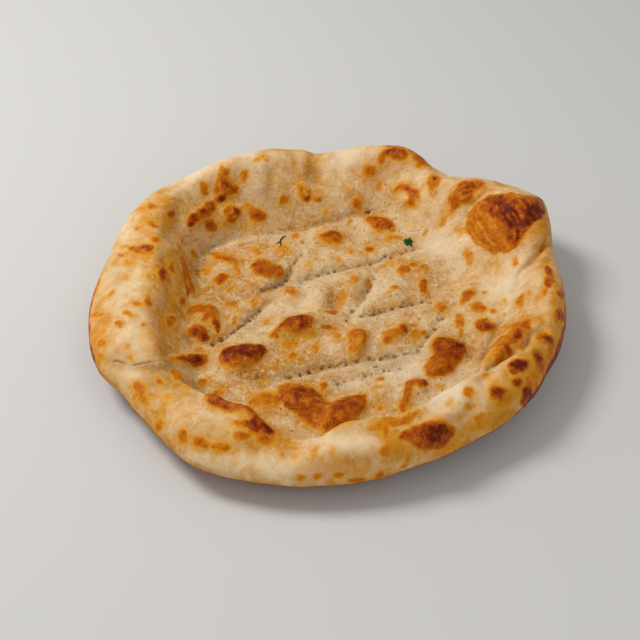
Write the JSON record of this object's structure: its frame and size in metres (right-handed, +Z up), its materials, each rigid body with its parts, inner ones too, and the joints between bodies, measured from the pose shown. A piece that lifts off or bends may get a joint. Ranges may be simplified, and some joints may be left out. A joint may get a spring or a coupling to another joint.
{
  "type": "butter naan",
  "caption": "Round leavened flatbread lying flat, with a puffed, folded rim, a pressed and dimpled floor, browned blisters and a buttered skin.",
  "frame": {"origin": "centre of the bread's footprint box, on the flat of its underside", "axes": "+Z up through the open floor of the bread, -Y the low front of the rim, +X to the right as shown, with the large dark blister at +X +Y"},
  "size_m": [0.2288, 0.23, 0.0427],
  "materials": {
    "baked_dough": null
  },
  "bodies": {
    "root": {"naan": "baked_dough"}
  },
  "joints": []
}
